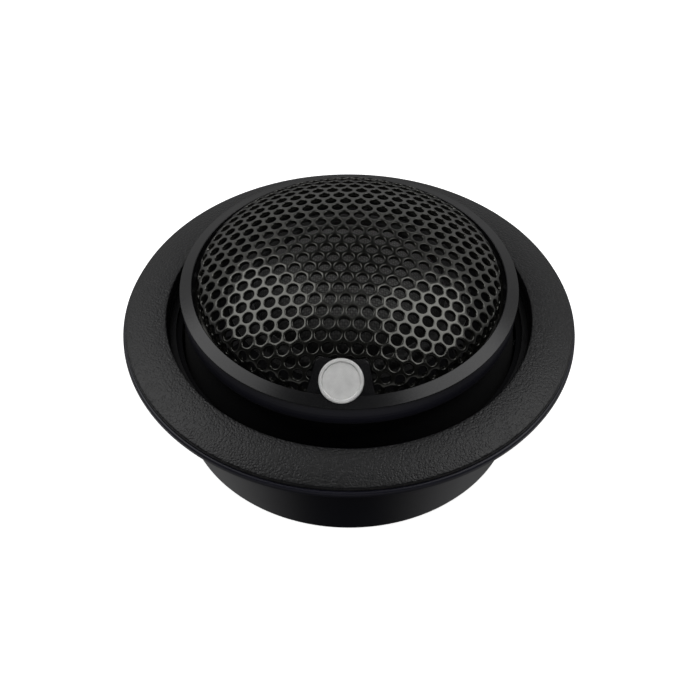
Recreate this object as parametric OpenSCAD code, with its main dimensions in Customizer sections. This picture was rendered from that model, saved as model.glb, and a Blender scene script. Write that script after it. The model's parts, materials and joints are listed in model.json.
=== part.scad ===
// Car tweeter: a domed, grilled pod that swivels in a flush-mount cup.
// Origin on the axis at the panel plane, +Z out of the panel; the badge is towards -Y.

/* [Mounting cup] */
// Diameter of the flange that lies on the panel
flange_d = 61; // [60:0.5:64]
// Thickness of the flange
flange_t = 0.95; // [0.8:0.05:1.2]
// Diameter of the neck that fits the panel's cut-out
neck_d = 51.2; // [51:0.1:51.6]
// Height of the neck's straight wall
neck_h = 3; // [2:0.5:4]
// Depth of the cup below the panel
cup_depth = 16.1; // [16:0.1:18]
// Diameter of the cup's bore, in which the swivel ring turns
bore_d = 48.4; // [48.3:0.1:48.6]

/* [Trim ring] */
// Outer diameter of the grained ring
trim_d = 60.3; // [59.8:0.1:60.8]
// Diameter of the opening round the pod
opening_d = 49.08; // [48.8:0.1:49.6]
// Height of the ring's inner edge above the panel
trim_h = 3.06; // [2.8:0.02:3.4]

/* [Pod] */
// Diameter of the pod's ball and of its collar
pod_d = 44.6; // [44:0.1:44.8]
// Height of the tilt axis, below the panel
pivot_z = -2.5; // [-2.8:0.1:-2.3]
// Height of the pod's flat back
pod_floor_z = -10.3; // [-10.6:0.1:-10]
// Height of the collar's top, under the bezel
collar_z = 7.7; // [7.6:0.05:7.8]
// Wall of the pod's housing
pod_wall = 1.3; // [1.1:0.1:1.4]

/* [Bezel and badge] */
// Outer diameter of the bezel
bezel_d = 45.1; // [44.9:0.1:45.2]
// Diameter of the bezel's inner edge
bezel_in_d = 41.8; // [41.6:0.1:42]
// Height of the bezel's inner edge
bezel_z = 8.81; // [8.7:0.05:9]
// Slope of the badge tab, in degrees
tab_slope = 38; // [34:1:40]
// Diameter of the badge
badge_d = 5.8; // [5:0.1:6]

/* [Grille] */
// Height of the grille's top
grille_top_z = 15.85; // [15.6:0.05:16.2]
// Radius of the grille's sphere
grille_r = 38; // [37:0.5:40]
// Thickness of the grille's sheet
sheet_t = 0.5; // [0.4:0.1:0.6]
// Diameter of a hole
hole_d = 1.5; // [1.2:0.1:1.6]
// Distance between hole centres
hole_pitch = 2; // [1.9:0.05:2.2]

/* [Driver] */
// Diameter of the voice coil
coil_d = 25.5; // [25:0.1:26]
// Radius of the silk dome's sphere
dome_r = 15; // [14.5:0.1:16]
// Radius of the surround's half roll
roll_r = 1.2; // [1:0.1:1.3]

/* [Hidden] */
$fn = 96;
eps = 0.01;

// Colours, as plain moulded plastic, metal and cloth
black_plastic = [0.09, 0.09, 0.1];
grained_plastic = [0.13, 0.13, 0.14];
black_steel = [0.2, 0.2, 0.2];
bright_metal = [0.8, 0.8, 0.78];
dark_metal = [0.22, 0.22, 0.23];
rubber_black = [0.05, 0.05, 0.05];
grey_silk = [0.35, 0.35, 0.34];
copper = [0.72, 0.43, 0.25];

flange_r = flange_d / 2;
neck_r = neck_d / 2;
bore_r = bore_d / 2;
opening_r = opening_d / 2;
pod_r = pod_d / 2;
bezel_r = bezel_d / 2;
bezel_in_r = bezel_in_d / 2;
coil_r = coil_d / 2;

// Mounting cup
cup_low_r = 22.3;
cup_corner_r = 2.2;
cup_floor_t = 1.5;
cup_floor_z = -cup_depth + cup_floor_t;
ledge_z = -5.1;
ledge_r = 22.9;
rib_r = 26;
rib_w = 0.8;
rib_h = 1;
outlet_hole_r = 3.2;
outlet_recess_r = 5;
outlet_recess_h = 0.8;
base_screw_r = 1.6;
base_screw_x = 11;

// Stack inside the cup, from the ledge up
washer_t = 0.45;
ring_gap = 0.05;
ring_z = ledge_z + washer_t + ring_gap;
ring_top_z = 2 * pivot_z - ring_z;
ring_r = 23.9;
ring_in_r = 22.6;
snap_z = ring_top_z + 0.1;
snap_t = 0.7;
snap_play = 0.08;
snap_out_r = 24.75;
snap_in_r = 23.4;
pin_r = 1.2;
pin_hole_r = 1.25;

// Pod
step_z = 4.8;
lip_z = collar_z + 0.1;
seat_r = 21;
gasket_t = 0.2;
plate_z = step_z + gasket_t;
plate_t = 1.4;
plate_top_z = plate_z + plate_t;
boss_ring_r = 18.2;
boss_r = 1.9;
boss_angles = [90, 210, 330];
lead_hole_r = 2;

// Grille
wall_r = 20.2;
shoulder_r = 19.2;
grille_flange_t = 0.5;
notch_depth = 2;
grille_centre_z = grille_top_z - grille_r;
pattern_shift = 0.85;

// Badge tab
tab_len = 4.7;
tab_wide = 4.37;
tab_narrow = 3.37;
tab_t = 0.9;
tab_root = 0.4;
tab_corner = 0.8;
tab_gap = 0.15;
badge_up = 1.82;
badge_sink = 0.25;

// Driver
pot_r = 15.6;
pot_in_r = 13.5;
pot_floor_t = 2.2;
pot_z = -5;
magnet_z = pot_z + pot_floor_t;
pole_z = 2;
pole_r = 12.35;
vent_r = 2.5;
dome_base_z = 6.5;
cloth_t = 0.25;
former_r = coil_r;
former_t = 0.15;
roll_mid_r = former_r + former_t + roll_r;
surround_r = 16.2;
tag_angle = 30;
tag_spread = 2.6;

// Points along an arc in the profile plane
function arc(cx, cz, r, from, to, n = 8) =
    [for (i = [0 : n]) let (a = from + (to - from) * i / n) [cx + r * cos(a), cz + r * sin(a)]];

// Height of the grille's outer surface at a distance from the axis
function grille_height(r) = grille_centre_z + sqrt(grille_r * grille_r - r * r);

// A flat ring between two heights
module ring(outer, inner, z0, z1) {
    translate([0, 0, z0]) difference() {
        cylinder(r = outer, h = z1 - z0);
        translate([0, 0, -1]) cylinder(r = inner, h = z1 - z0 + 2);
    }
}

// Spreads a child round the axis at the given angles
module around(angles, radius) {
    for (a = angles) rotate([0, 0, a]) translate([radius, 0, 0]) children();
}

// The tab's outline in its own sloping plane, grown by a clearance
module tab_outline(grow = 0) {
    w0 = tab_wide + grow;
    w1 = tab_narrow + grow;
    top = tab_len + grow;
    c = tab_corner;
    polygon(concat([[-w0, -tab_root - grow], [w0, -tab_root - grow], [w0, 0]],
        arc(w1 - c, top - c, c, 10, 90, 4),
        arc(-w1 + c, top - c, c, 90, 170, 4),
        [[-w0, 0]]));
}

// Places a child on the tab's plane: X across, Y up the slope, Z out of the plate
module on_tab() {
    translate([0, -bezel_in_r, bezel_z + 0.04]) rotate([tab_slope, 0, 0]) children();
}

module mounting_cup() {
    rim = 0.18;
    wall = 1.3;
    color(black_plastic) difference() {
        rotate_extrude() polygon(concat(
            [[0, cup_floor_z], [0, -cup_depth]],
            arc(cup_low_r - cup_corner_r, cup_corner_r - cup_depth, cup_corner_r, -90, 0, 8),
            [[neck_r, -neck_h], [neck_r, 0], [flange_r - rim, 0], [flange_r, rim],
                [flange_r, flange_t - rim], [flange_r - rim, flange_t],
                [rib_r + rib_w, flange_t], [rib_r + rib_w, flange_t + rib_h],
                [rib_r, flange_t + rib_h], [rib_r, flange_t],
                [bore_r, flange_t], [bore_r, snap_z + snap_t + snap_play],
                [snap_out_r + snap_play, snap_z + snap_t + snap_play],
                [snap_out_r + snap_play, snap_z - snap_play], [bore_r, snap_z - snap_play],
                [bore_r, ledge_z], [ledge_r, ledge_z]],
            arc(cup_low_r - wall - 1, cup_floor_z + 1, 1, 0, -90, 4)));
        translate([0, 0, -cup_depth - 1]) cylinder(r = outlet_hole_r, h = cup_depth);
        translate([0, 0, -cup_depth - 1]) cylinder(r = outlet_recess_r, h = outlet_recess_h + 1);
        for (side = [-1, 1])
            translate([side * base_screw_x, 0, -cup_depth - 1]) cylinder(r = base_screw_r, h = 5);
    }
}

module trim_ring() {
    edge = 0.3;
    top = trim_d / 2;
    gap = 0.1;
    low_z = flange_t + gap;
    groove = 0.05;
    color(grained_plastic) rotate_extrude() polygon(concat(
        [[top - 1.2, low_z], [top - 0.1, low_z], [top, low_z + 0.12]],
        arc(top - edge, low_z + 0.22, edge, 0, 73, 4),
        arc(opening_r + 0.25, trim_h - 0.25, 0.25, 73, 180, 5),
        [[opening_r, flange_t], [rib_r - groove, flange_t],
            [rib_r - groove, flange_t + rib_h + groove],
            [rib_r + rib_w + groove, flange_t + rib_h + groove],
            [rib_r + rib_w + groove, flange_t], [top - 1.3, flange_t]]));
}

module cable_grommet() {
    lip_r = 4.8;
    lip_t = 0.9;
    color(rubber_black) rotate_extrude() polygon([[1.6, -cup_depth], [lip_r, -cup_depth],
        [lip_r, outlet_recess_h - cup_depth], [outlet_hole_r, outlet_recess_h - cup_depth],
        [outlet_hole_r, cup_floor_z], [lip_r, cup_floor_z], [lip_r, cup_floor_z + lip_t],
        [1.6, cup_floor_z + lip_t]]);
}

module friction_washer() {
    color(rubber_black) ring(bore_r - 0.1, ledge_r + 0.1, ledge_z, ledge_z + washer_t);
}

// An open ring that springs into the groove above the swivel ring
module snap_ring() {
    mouth = 3;
    color(dark_metal) difference() {
        ring(snap_out_r, snap_in_r, snap_z, snap_z + snap_t);
        translate([-mouth / 2, 0, snap_z - 1]) cube([mouth, snap_out_r + 1, snap_t + 2]);
    }
}

module swivel_ring() {
    color(black_plastic) difference() {
        ring(ring_r, ring_in_r, ring_z, ring_top_z);
        for (side = [-1, 1]) translate([side * ring_in_r, 0, pivot_z]) rotate([0, 90, 0])
            cylinder(r = pin_hole_r, h = 4, center = true);
    }
}

module pivot_pins() {
    tip_x = ring_r - 0.1;
    root_x = 19;
    color(dark_metal) for (side = [0, 180]) rotate([0, 0, side])
        translate([root_x, 0, pivot_z]) rotate([0, 90, 0]) cylinder(r = pin_r, h = tip_x - root_x);
}

module rear_shell() {
    blend_z = 4;
    collar_round = 4.5;
    collar_lean = 25;
    collar_mid_z = collar_z - collar_round * sin(collar_lean);
    floor_in_z = pod_floor_z + pod_wall;
    in_r = pod_r - pod_wall;
    lip_r = seat_r + 0.8;
    low = asin((pod_floor_z - pivot_z) / pod_r);
    high = asin((blend_z - pivot_z) / pod_r);
    in_low = asin((floor_in_z - pivot_z) / in_r);
    in_high = asin((step_z - pivot_z) / in_r);
    color(black_plastic) difference() {
        union() {
            rotate_extrude() polygon(concat(
                [[0, floor_in_z], [0, pod_floor_z]],
                arc(0, pivot_z, pod_r, low, high, 10),
                arc(pod_r - collar_round, collar_mid_z, collar_round, -10, collar_lean, 6),
                [[lip_r, collar_z], [lip_r, lip_z], [seat_r, lip_z], [seat_r, step_z]],
                arc(0, pivot_z, in_r, in_high, in_low, 10)));
            around(boss_angles, boss_ring_r) translate([0, 0, floor_in_z - 0.5])
                cylinder(r = boss_r, h = step_z - floor_in_z + 0.5);
            around([0, 180], 19) translate([0, 0, pivot_z]) rotate([0, 90, 0])
                cylinder(r = 2.4, h = 2.8);
        }
        around(boss_angles, boss_ring_r) translate([0, 0, -3]) cylinder(r = 0.95, h = 10);
        around([0, 180], 18) translate([0, 0, pivot_z]) rotate([0, 90, 0])
            cylinder(r = pin_r, h = 6);
        translate([0, 0, pod_floor_z - 1]) cylinder(r = lead_hole_r, h = 4);
    }
}

module shell_grommet() {
    lip_r = 3.2;
    lip_t = 0.6;
    in_z = pod_floor_z + pod_wall;
    color(rubber_black) rotate_extrude() polygon([[0.9, pod_floor_z - lip_t],
        [lip_r, pod_floor_z - lip_t], [lip_r, pod_floor_z], [lead_hole_r, pod_floor_z],
        [lead_hole_r, in_z], [lip_r, in_z], [lip_r, in_z + lip_t], [0.9, in_z + lip_t]]);
}

module shell_gasket() {
    color(rubber_black) ring(seat_r - 0.1, 20.3, step_z, step_z + gasket_t);
}

module bezel_ring() {
    skirt_r = seat_r - 0.05;
    skirt_in_r = 20.55;
    skirt_z = plate_top_z + grille_flange_t;
    rest_r = 21.75;
    edge = 0.35;
    color(black_plastic) difference() {
        union() {
            rotate_extrude() polygon(concat(
                [[skirt_in_r, skirt_z], [skirt_r, skirt_z], [skirt_r, lip_z],
                    [rest_r, lip_z], [rest_r, lip_z + 0.2], [bezel_r - 0.15, lip_z + 0.05]],
                arc(bezel_r - edge, collar_z + 0.45, edge, -30, 64, 5),
                arc(bezel_in_r + 0.2, bezel_z - 0.2, 0.2, 64, 180, 4),
                [[bezel_in_r, skirt_z + 0.8], [skirt_in_r, skirt_z + 0.4]]));
            on_tab() translate([0, 0, -tab_t]) linear_extrude(tab_t) tab_outline();
        }
        badge_pocket();
    }
}

// Seat of the badge on the sloping tab
module badge_pocket() {
    on_tab() translate([0, badge_up, -badge_sink]) cylinder(r = badge_d / 2 + 0.03, h = 3);
}

// A plain disc with a raised rim and one inner step
module emblem() {
    r = badge_d / 2;
    rise = 0.5;
    face = 0.28;
    color(bright_metal) on_tab() translate([0, badge_up, 0]) rotate_extrude() polygon(concat(
        [[0, -badge_sink], [r, -badge_sink], [r, rise - 0.15]],
        arc(r - 0.15, rise - 0.15, 0.15, 0, 90, 3),
        [[r - 0.45, rise], [r - 0.6, face], [r - 1.5, face],
            [r - 1.65, face + 0.12], [0, face + 0.12]]));
}

// Centres of the hexagonal hole pattern, as distance along the sheet and bearing
hole_reach = shoulder_r - 0.5;
row_step = hole_pitch * sqrt(3) / 2;
rows = ceil(hole_reach / row_step) + 1;
hole_centres = [for (j = [-rows : rows], i = [-rows - 4 : rows + 4])
    let (x = (i + abs(j) % 2 / 2) * hole_pitch, y = j * row_step + pattern_shift)
    let (s = norm([x, y]), tilt = s / grille_r * 180 / PI)
    if (grille_r * sin(tilt) < hole_reach) [tilt, atan2(y, x)]];

module grille_shell() {
    foot_z = plate_top_z;
    high = grille_height(shoulder_r);
    inner_r = grille_r - sheet_t;
    difference() {
        intersection() {
            translate([0, 0, grille_centre_z]) sphere(r = grille_r, $fn = 180);
            translate([0, 0, foot_z]) cylinder(r = shoulder_r, h = 20);
        }
        intersection() {
            translate([0, 0, grille_centre_z]) sphere(r = inner_r, $fn = 180);
            translate([0, 0, foot_z - 1]) cylinder(r = shoulder_r + 1, h = 20);
        }
    }
    rotate_extrude() polygon([[shoulder_r - eps, high], [shoulder_r + 0.6, high - 0.45],
        [wall_r, high - 1.3], [wall_r, foot_z + grille_flange_t],
        [seat_r - 0.1, foot_z + grille_flange_t], [seat_r - 0.1, foot_z],
        [wall_r - sheet_t, foot_z], [wall_r - sheet_t, high - 1.4],
        [shoulder_r + 0.2, high - 0.9], [shoulder_r - eps, high - sheet_t * 1.17]]);
}

module grille() {
    drill = 2;
    color(black_steel) difference() {
        grille_shell();
        for (h = hole_centres) translate([0, 0, grille_centre_z]) rotate([0, h[0], h[1]])
            translate([0, 0, grille_r - drill / 2 - sheet_t / 2]) cylinder(d = hole_d, h = drill, $fn = 24);
        on_tab() translate([0, 0, -notch_depth]) linear_extrude(notch_depth + 5)
            tab_outline(tab_gap);
    }
}

module faceplate() {
    hole_r = 14;
    recess_r = 15.4;
    color(black_plastic) difference() {
        ring(seat_r - 0.1, hole_r, plate_z, plate_top_z);
        translate([0, 0, plate_z + 0.6]) cylinder(r = recess_r, h = 2);
        around(boss_angles, boss_ring_r) {
            translate([0, 0, plate_z - 1]) cylinder(r = 1.1, h = 4);
            translate([0, 0, plate_top_z - 0.9]) cylinder(r = 1.9, h = 2);
        }
        for (side = [-1, 1]) rotate([0, 0, tag_angle]) translate([13, side * tag_spread - 0.4, plate_z - 1])
            cube([6, 0.8, 1.5]);
    }
}

module chassis_screws() {
    head_r = 1.8;
    head_h = 0.8;
    shank_r = 0.9;
    reach = 6;
    color(dark_metal) around(boss_angles, boss_ring_r)
        translate([0, 0, plate_top_z - 0.9]) difference() {
            union() {
                cylinder(r = head_r, h = head_h);
                translate([0, 0, -reach]) cylinder(r = shank_r, h = reach + eps);
            }
            for (turn = [0, 90]) rotate([0, 0, turn])
                translate([-1.1, -0.2, head_h - 0.45]) cube([2.2, 0.4, 1]);
        }
}

module yoke_pot() {
    color(bright_metal) difference() {
        translate([0, 0, pot_z]) cylinder(r = pot_r, h = plate_z - pot_z);
        translate([0, 0, magnet_z]) cylinder(r = pot_in_r, h = plate_z - magnet_z + 1);
        translate([0, 0, pot_z - 1]) cylinder(r = vent_r, h = 10);
    }
}

module magnet() {
    color(bright_metal) ring(pole_r - 0.35, vent_r, magnet_z, pole_z);
}

module pole_disc() {
    color(bright_metal) ring(pole_r, vent_r, pole_z, plate_z);
}

module shorting_ring() {
    color(copper) ring(pole_r + 0.15, pole_r, pole_z, plate_z);
}

module dome_damper() {
    color(grained_plastic) ring(10, vent_r + 0.5, plate_z, plate_z + 1.6);
}

module chamber_felt() {
    color(grained_plastic) ring(14, 3.8, pod_floor_z + pod_wall + 0.1, pot_z - 0.3);
}

module terminal_board() {
    color("darkolivegreen") rotate([0, 0, tag_angle]) translate([16.2, -4.5, plate_z - 0.8])
        cube([3, 9, 0.8]);
}

module terminal_tags() {
    color(bright_metal) rotate([0, 0, tag_angle]) for (side = [-1, 1])
        translate([17.5, side * tag_spread - 1, plate_z - 5.8]) cube([0.5, 2, 5]);
}

// Lead-out wires, from beside the former to above the tags
module coil_leads() {
    wire_r = 0.15;
    start = former_r + 0.6;
    color(copper) rotate([0, 0, tag_angle]) for (side = [-1, 1])
        translate([start, side * tag_spread, plate_z + wire_r + 0.02]) rotate([0, 90, 0])
            cylinder(r = wire_r, h = 18.2 - start, $fn = 24);
}

module surround() {
    out_flange = roll_mid_r + roll_r;
    color(grey_silk) rotate_extrude() polygon(concat(
        [[surround_r, plate_top_z], [surround_r, plate_top_z + cloth_t]],
        [[out_flange, plate_top_z + cloth_t]],
        arc(roll_mid_r, plate_top_z + cloth_t, roll_r, 0, 180, 12),
        arc(roll_mid_r, plate_top_z + cloth_t, roll_r - cloth_t, 180, 0, 12),
        [[roll_mid_r + roll_r - cloth_t, plate_top_z]]));
}

module dome_diaphragm() {
    base_r = former_r + former_t - 0.05;
    drop = sqrt(dome_r * dome_r - base_r * base_r);
    color(grey_silk) intersection() {
        translate([0, 0, dome_base_z - drop]) difference() {
            sphere(r = dome_r);
            sphere(r = dome_r - cloth_t);
        }
        translate([0, 0, dome_base_z]) cylinder(r = base_r + 1, h = dome_r);
    }
}

module coil_former() {
    color("sienna") ring(former_r + former_t - 0.1, former_r - 0.1, 1.4, dome_base_z);
}

module voice_coil() {
    inner = former_r + former_t - 0.1;
    color(copper) ring(inner + 0.3, inner, 2.4, 4.6);
}

mounting_cup();
trim_ring();
cable_grommet();
friction_washer();
snap_ring();
swivel_ring();
pivot_pins();
rear_shell();
shell_grommet();
shell_gasket();
bezel_ring();
emblem();
grille();
faceplate();
chassis_screws();
yoke_pot();
magnet();
pole_disc();
shorting_ring();
dome_damper();
chamber_felt();
terminal_board();
terminal_tags();
coil_leads();
surround();
dome_diaphragm();
coil_former();
voice_coil();
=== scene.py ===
import json
import math

import bmesh
import bpy
import numpy as np
from bpy.props import FloatProperty, FloatVectorProperty, IntProperty, PointerProperty
from mathutils import Matrix, Vector


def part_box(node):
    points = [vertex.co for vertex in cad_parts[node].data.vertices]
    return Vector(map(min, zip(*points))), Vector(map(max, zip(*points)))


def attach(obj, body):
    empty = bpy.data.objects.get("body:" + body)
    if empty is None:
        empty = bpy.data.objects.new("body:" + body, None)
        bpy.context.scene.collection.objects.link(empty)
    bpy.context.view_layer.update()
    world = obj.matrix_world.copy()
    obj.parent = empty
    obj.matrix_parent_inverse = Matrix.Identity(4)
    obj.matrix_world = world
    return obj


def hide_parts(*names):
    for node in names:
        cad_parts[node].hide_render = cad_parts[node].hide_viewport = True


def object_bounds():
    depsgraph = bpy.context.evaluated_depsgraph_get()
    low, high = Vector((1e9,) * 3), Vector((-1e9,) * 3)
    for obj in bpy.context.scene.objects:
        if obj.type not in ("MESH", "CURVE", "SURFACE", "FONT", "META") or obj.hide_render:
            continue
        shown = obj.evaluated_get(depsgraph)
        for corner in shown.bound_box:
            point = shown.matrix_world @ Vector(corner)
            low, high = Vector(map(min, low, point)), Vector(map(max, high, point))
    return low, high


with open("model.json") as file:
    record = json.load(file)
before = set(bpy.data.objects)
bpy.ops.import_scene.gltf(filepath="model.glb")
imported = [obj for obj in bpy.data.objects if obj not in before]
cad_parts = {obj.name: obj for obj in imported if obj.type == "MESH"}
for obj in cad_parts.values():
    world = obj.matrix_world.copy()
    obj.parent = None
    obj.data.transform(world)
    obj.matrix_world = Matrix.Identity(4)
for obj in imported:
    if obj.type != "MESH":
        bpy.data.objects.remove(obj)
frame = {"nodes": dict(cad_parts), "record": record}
cad_low, cad_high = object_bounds()

bl_info = {
    "name": "Car tweeter",
    "version": (1, 0, 0),
    "blender": (4, 5, 0),
    "location": "3D View > Sidebar > Tweeter",
    "description": "Builds the visible pieces of a flush-mount swivel tweeter round its packed frame",
    "category": "Add Mesh",
}

MM = 0.001
WHITE = (1, 1, 1, 1)
# Near-black painted into the gap between cup and pod: painted shade, not the plastic's own colour.
PAINTED_GAP_SHADE = (0.001, 0.001, 0.0013, 1)
EDGE_PARTS = 4


# ---------------------------------------------------------------------------
# Places read from the frame


def reach(node):
    """How far a turned node goes from the axis, in metres."""
    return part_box(node)[1].x


def top(node):
    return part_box(node)[1].z


def foot(node):
    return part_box(node)[0].z


# ---------------------------------------------------------------------------
# Settings


def length(name, description, default):
    return FloatProperty(name=name, description=description, default=default, unit="LENGTH", precision=5)


def angle(name, description, degrees):
    return FloatProperty(name=name, description=description, default=math.radians(degrees), subtype="ANGLE")


def colour(name, description, default):
    return FloatVectorProperty(
        name=name, description=description, default=default, subtype="COLOR", min=0, max=1
    )


def share(name, description, default):
    return FloatProperty(
        name=name, description=description, default=default, min=0, max=1, subtype="FACTOR"
    )


def power(name, description, default):
    return FloatProperty(name=name, description=description, default=default, unit="POWER")


class CupSettings(bpy.types.PropertyGroup):
    flange: length("Flange thickness", "Thickness of the flange's lip", 0.95 * MM)
    rim_round: length("Lip rounding", "Radius of the lip's two edges", 0.34 * MM)
    neck_radius: length("Neck radius", "Radius of the neck behind the panel", 25.6 * MM)
    neck_height: length("Neck height", "Height of the neck's straight wall", 3 * MM)
    floor_radius: length("Floor radius", "Radius of the cup's tapered end", 22.3 * MM)
    corner: length("Floor corner", "Radius of the cup's lower corner", 2.2 * MM)
    bore: length("Bore radius", "Radius of the bore that holds the swivel ring", 24.2 * MM)
    wall: length("Wall", "Thickness of the cup's wall", 1.3 * MM)


class TrimSettings(bpy.types.PropertyGroup):
    opening: length("Opening radius", "Radius of the opening round the pod", 24.54 * MM)
    edge_round: length("Inner edge", "Radius of the ring's raised inner edge", 0.22 * MM)
    parting: length("Parting gap", "Height of the dark line between ring and flange", 0.13 * MM)
    crown: length("Crown", "Swell of the ring's sloping face", 0.2 * MM)
    grain: length("Grain size", "Size of the moulded grain", 0.36 * MM)
    grain_depth: length("Grain depth", "Depth of the moulded grain", 0.06 * MM)


class BezelSettings(bpy.types.PropertyGroup):
    inner_radius: length("Inner radius", "Radius of the bezel's inner edge", 20.9 * MM)
    inner_height: length("Inner height", "Height of the bezel's inner edge", 8.81 * MM)
    edge_height: length("Edge height", "Height of the band's outer edge", 8.02 * MM)
    tab_slope: angle("Tab slope", "Rise of the badge tab", 38)
    tab_length: length("Tab length", "Length of the tab up its slope", 4.7 * MM)
    tab_wide: length("Tab half width", "Half width of the tab at the bezel", 4.37 * MM)
    tab_narrow: length("Tab end half width", "Half width of the tab at its upper end", 3.37 * MM)
    tab_corner: length("Tab corner", "Radius of the tab's upper corners", 0.8 * MM)
    badge_radius: length("Badge radius", "Radius of the badge", 2.9 * MM)
    badge_up: length("Badge place", "Distance of the badge's centre up the slope", 1.82 * MM)


class GrilleSettings(bpy.types.PropertyGroup):
    hole: length("Hole radius", "Radius of a hole", 0.75 * MM)
    pitch: length("Hole pitch", "Distance between hole centres", 2 * MM)
    sheet: length("Sheet", "Thickness of the pressed sheet", 0.5 * MM)
    edge_round: length("Hole edge", "Rounding of a hole's painted edge", 0.12 * MM)
    pattern_shift: length("Pattern shift", "Offset of the pattern from the axis", 0.85 * MM)
    crown: length("Crown", "Drop of the dome's even curve at the wall", 4.35 * MM)
    turn_down: length("Turn down", "Extra drop of the dome towards its edge", 1.8 * MM)
    cap_radius: length("Cap radius", "Radius at which the dome turns down to its wall", 19.2 * MM)
    wall_radius: length("Wall radius", "Radius of the grille's wall", 20.2 * MM)


class DomeSettings(bpy.types.PropertyGroup):
    curve: length("Dome curve", "Radius of the silk dome's sphere", 15 * MM)
    cloth: length("Cloth", "Thickness of the coated silk", 0.25 * MM)
    roll: length("Roll", "Radius of the surround's half roll", 1.2 * MM)
    thread: length("Thread pitch", "Distance between threads of the silk", 0.45 * MM)


class StudioSettings(bpy.types.PropertyGroup):
    elevation: angle("Camera elevation", "Height of the camera above the horizon", 44.71)
    azimuth: angle("Camera azimuth", "Turn of the camera round the object", 2.85)
    roll: angle("Camera roll", "Turn of the camera about its own axis", 0.2)
    aim_below: angle("Aim below", "How far under the flange the camera aims", 0.598)
    aim_right: angle("Aim right", "How far right of the axis the camera aims", 0.023)
    distance: length("Camera distance", "Distance of the camera from the flange's centre", 313.6 * MM)
    lens: FloatProperty(name="Lens", description="Focal length, in mm on a 36 mm sensor", default=119.16)
    softbox: power("Softbox power", "Power of each softbox", 0.5)
    card: power("Card power", "Power of the front lamp that lights matt shading only", 1.1)
    floor_glow: share("Floor glow", "Share of the floor's white that needs no lamp", 0.9)
    behind: share("Light behind", "Strength of the light overhead and behind", 0.55)
    before: share("Light before", "Strength of the low light in front", 0.32)
    under: share("Light under", "Strength of the low light at the two sides", 0.75)
    fill: share("Fill", "Strength of the light from everywhere", 0.015)


class FinishSettings(bpy.types.PropertyGroup):
    plastic: colour("Plastic", "Colour of the moulded plastic", (0.0065, 0.0065, 0.0072))
    grille: colour("Grille paint", "Colour of the grille's powder coat", (0.004, 0.004, 0.0036))
    silk: colour("Silk", "Colour of the dome's silk", (0.05, 0.05, 0.0485))
    badge: colour("Badge", "Colour of the badge's metal", (0.78, 0.78, 0.77))


class TweeterSettings(bpy.types.PropertyGroup):
    cup: PointerProperty(type=CupSettings)
    trim: PointerProperty(type=TrimSettings)
    bezel: PointerProperty(type=BezelSettings)
    grille: PointerProperty(type=GrilleSettings)
    dome: PointerProperty(type=DomeSettings)
    studio: PointerProperty(type=StudioSettings)
    finish: PointerProperty(type=FinishSettings)
    segments: IntProperty(name="Segments", description="Steps round a turned piece", default=288, min=48)


# ---------------------------------------------------------------------------
# Mesh helpers


def rounded(points, closed=True, steps=6):
    """The outline with an arc at each corner given as (across, up, radius)."""
    made = []
    count = len(points)
    for i, point in enumerate(points):
        here = Vector(point[:2])
        radius = point[2] if len(point) > 2 else 0
        if radius == 0 or (not closed and i in (0, count - 1)):
            made.append(here)
            continue
        before = Vector(points[i - 1][:2]) - here
        after = Vector(points[(i + 1) % count][:2]) - here
        half = before.angle(after) / 2
        cut = min(radius / math.tan(half), 0.49 * before.length, 0.49 * after.length)
        radius = cut * math.tan(half)
        centre = here + (before.normalized() + after.normalized()).normalized() * radius / math.sin(half)
        start = here + before.normalized() * cut - centre
        end = here + after.normalized() * cut - centre
        turn = start.angle_signed(end)
        for k in range(steps + 1):
            made.append(centre + Matrix.Rotation(-turn * k / steps, 2) @ start)
    return made


def arc(across, up, radius, turns):
    """Points of an arc about (across, up), each turned from straight up towards the outside."""
    return [(across + radius * math.sin(turn), up + radius * math.cos(turn)) for turn in turns]


def shade(mesh, sharp=40):
    mesh.shade_smooth()
    mesh.set_sharp_from_angle(angle=math.radians(sharp))


def new_piece(name, work, slot, body, *nodes, weighted=True):
    """A piece from a bmesh, with its finish, its slot, its body and the nodes it stands for."""
    bmesh.ops.recalc_face_normals(work, faces=work.faces)
    mesh = bpy.data.meshes.new(name)
    work.to_mesh(mesh)
    work.free()
    piece = bpy.data.objects.new(name, mesh)
    bpy.context.scene.collection.objects.link(piece)
    shade(mesh)
    if weighted:
        bevel_shading = piece.modifiers.new("flat_faces", "WEIGHTED_NORMAL")
        bevel_shading.keep_sharp = True
    mesh.materials.append(finish(slot))
    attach(piece, body)
    if nodes:
        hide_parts(*nodes)
    return piece


def turned(work, outline, closed=True):
    """Adds an outline of (radius, height) points turned round the axis."""
    segments = bpy.context.scene.tweeter.segments
    rings = []
    for point in outline:
        if point[0] < 1e-6:
            rings.append([work.verts.new((0, 0, point[1]))] * segments)
            continue
        ring = []
        for k in range(segments):
            bearing = 2 * math.pi * k / segments
            across = point[0] * math.cos(bearing)
            along = point[0] * math.sin(bearing)
            ring.append(work.verts.new((across, along, point[1])))
        rings.append(ring)
    pairs = zip(rings, rings[1:] + rings[:1]) if closed else zip(rings, rings[1:])
    for low, high in pairs:
        for k in range(segments):
            corners = [low[k - 1], low[k], high[k], high[k - 1]]
            corners = list(dict.fromkeys(corners))
            if len(corners) > 2:
                work.faces.new(corners)


def stacked(work, rings):
    """Joins rings of equally many points with bands of faces, and closes both ends."""
    levels = [[work.verts.new(point) for point in ring] for ring in rings]
    for low, high in zip(levels, levels[1:]):
        for k in range(len(low)):
            work.faces.new((low[k - 1], low[k], high[k], high[k - 1]))
    work.faces.new(levels[0])
    work.faces.new(levels[-1])


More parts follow.
